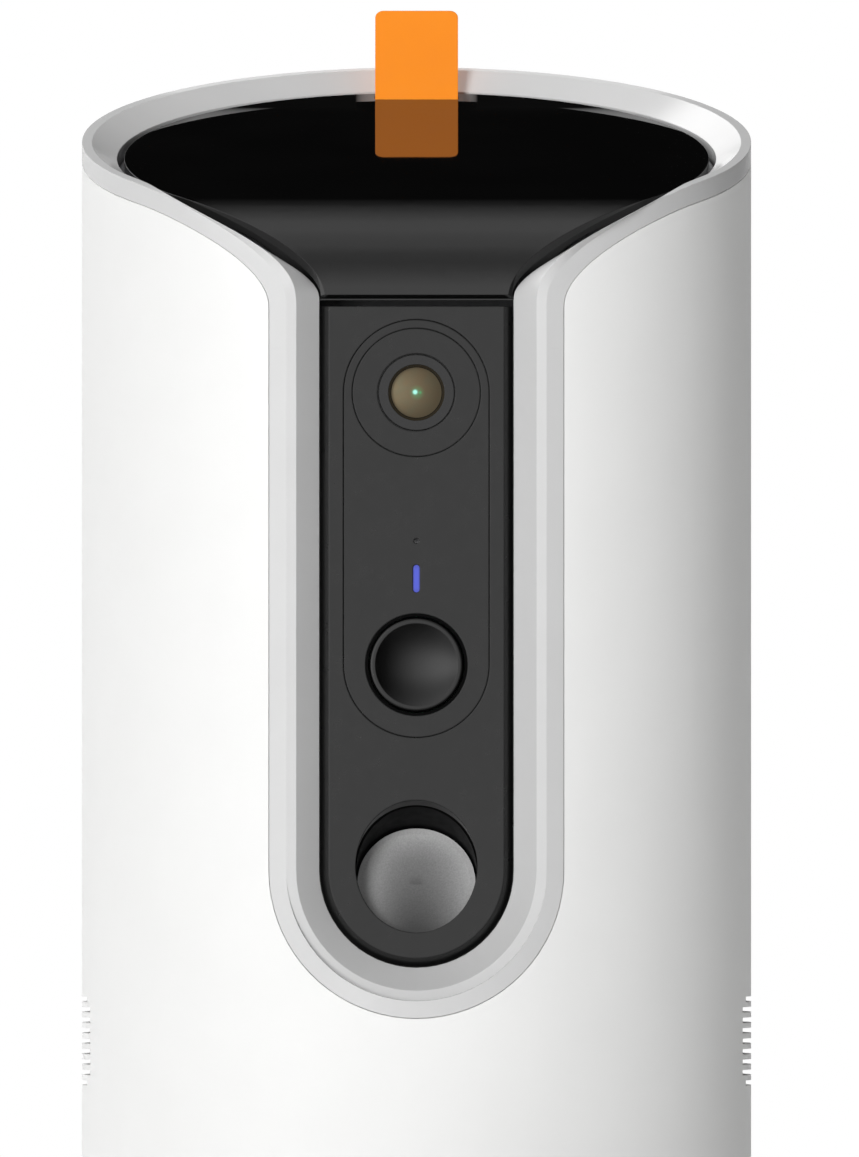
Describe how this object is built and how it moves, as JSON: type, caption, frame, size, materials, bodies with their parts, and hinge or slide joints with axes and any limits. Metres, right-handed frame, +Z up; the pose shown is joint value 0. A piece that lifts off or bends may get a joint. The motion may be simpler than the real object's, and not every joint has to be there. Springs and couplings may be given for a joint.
{
  "type": "treat tossing pet camera",
  "caption": "Upright cylinder with a front camera, call button and treat launching mouth under a slanted lift-off lid with a pull strap.",
  "frame": {"origin": "under the middle of the feet, on the surface the camera stands on", "axes": "+Z up, the lens and launch mouth face -Y, +X to the right seen from the front"},
  "size_m": [0.13, 0.13, 0.2568],
  "materials": {
    "shell_white": "satin",
    "trim_grey": "satin",
    "lid_black": "gloss",
    "panel_dark": "satin",
    "button_dark": "satin",
    "strap_orange": "matte",
    "lens_black": "satin",
    "tube_dark": "matte",
    "pusher_grey": "matte",
    "inner_grey": "satin",
    "frame_grey": "matte",
    "base_grey": "matte",
    "gear_white": "satin",
    "rubber_black": "matte",
    "rubber_grey": "matte",
    "board_green": "satin",
    "metal_steel": "satin",
    "lens_glass": "gloss",
    "led_clear": "gloss",
    "light_blue": "satin"
  },
  "bodies": {
    "housing": {"outer_shell": "shell_white", "trim_liner": "trim_grey", "front_panel": "panel_dark", "sensor_plate": "panel_dark", "status_light": "light_blue", "lens_bezel": "panel_dark", "lens_barrel": "lens_black", "lens_glass": "lens_glass", "camera_board": "board_green", "infrared_leds": "led_clear", "microphone": "metal_steel", "mic_boot": "rubber_black", "button_ring": "lens_black", "button_switch": "lens_black", "launch_tube": "tube_dark", "tube_cap": "frame_grey", "pusher_spring": "metal_steel", "cocking_motor": "metal_steel", "treat_hopper": "inner_grey", "wheel_housing": "inner_grey", "dispenser_motor": "metal_steel", "drop_chute": "inner_grey", "chassis": "frame_grey", "speaker_right": "lens_black", "speaker_left": "lens_black", "main_board": "board_green", "power_inlet": "metal_steel", "reset_switch": "lens_black", "base_plate": "base_grey", "rubber_feet": "rubber_black", "base_screws": "metal_steel"},
    "lid": {"lid": "lid_black", "lid_plug": "inner_grey", "lid_seal": "rubber_grey", "pull_tab": "strap_orange"},
    "call_button": {"call_button": "button_dark", "switch_plunger": "metal_steel"},
    "reset_button": {"reset_button": "button_dark"},
    "metering_wheel": {"metering_wheel": "gear_white", "wheel_gear": "gear_white"},
    "dispenser_pinion": {"dispenser_pinion": "gear_white"},
    "pusher": {"pusher": "pusher_grey"},
    "cocking_gear": {"cocking_gear": "gear_white"},
    "cocking_pinion": {"cocking_pinion": "gear_white"}
  },
  "joints": [
    {"name": "lid_lift", "type": "slide", "parent": "housing", "child": "lid", "axis": [0, 0, 1], "range_m": [0, 0.12]},
    {"name": "button_press", "type": "slide", "parent": "housing", "child": "call_button", "axis": [0, 1, 0], "range_m": [0, 0.0008], "stiffness_N_per_m": 400},
    {"name": "reset_press", "type": "slide", "parent": "housing", "child": "reset_button", "axis": [0, -1, 0], "range_m": [0, 0.0006], "stiffness_N_per_m": 400},
    {"name": "wheel_spin", "type": "hinge", "parent": "housing", "child": "metering_wheel", "pos_m": [0, 0, 0.115], "axis": [0, 0, 1], "continuous": true},
    {"name": "dispenser_pinion_spin", "type": "hinge", "parent": "housing", "child": "dispenser_pinion", "pos_m": [0, 0.015, 0.111], "axis": [0, 0, 1], "continuous": true},
    {"name": "pusher_slide", "type": "slide", "parent": "housing", "child": "pusher", "axis": [0, -0.9157, 0.4019], "range_m": [-0.0258, 0], "stiffness_N_per_m": 150, "springref_m": 0.01, "deforming": ["pusher_spring"]},
    {"name": "cocking_turn", "type": "hinge", "parent": "housing", "child": "cocking_gear", "pos_m": [0, 0.01586, 0.04524], "axis": [1, 0, 0], "range_deg": [-148, 0]},
    {"name": "cocking_pinion_spin", "type": "hinge", "parent": "housing", "child": "cocking_pinion", "pos_m": [0.01, 0.03318, 0.03524], "axis": [1, 0, 0], "range_deg": [0, 592]}
  ],
  "couplings": [
    {"joint": "dispenser_pinion_spin", "follows": "wheel_spin", "ratio": -2},
    {"joint": "cocking_turn", "follows": "pusher_slide", "rad_per_m": 100},
    {"joint": "cocking_pinion_spin", "follows": "pusher_slide", "rad_per_m": -400}
  ]
}
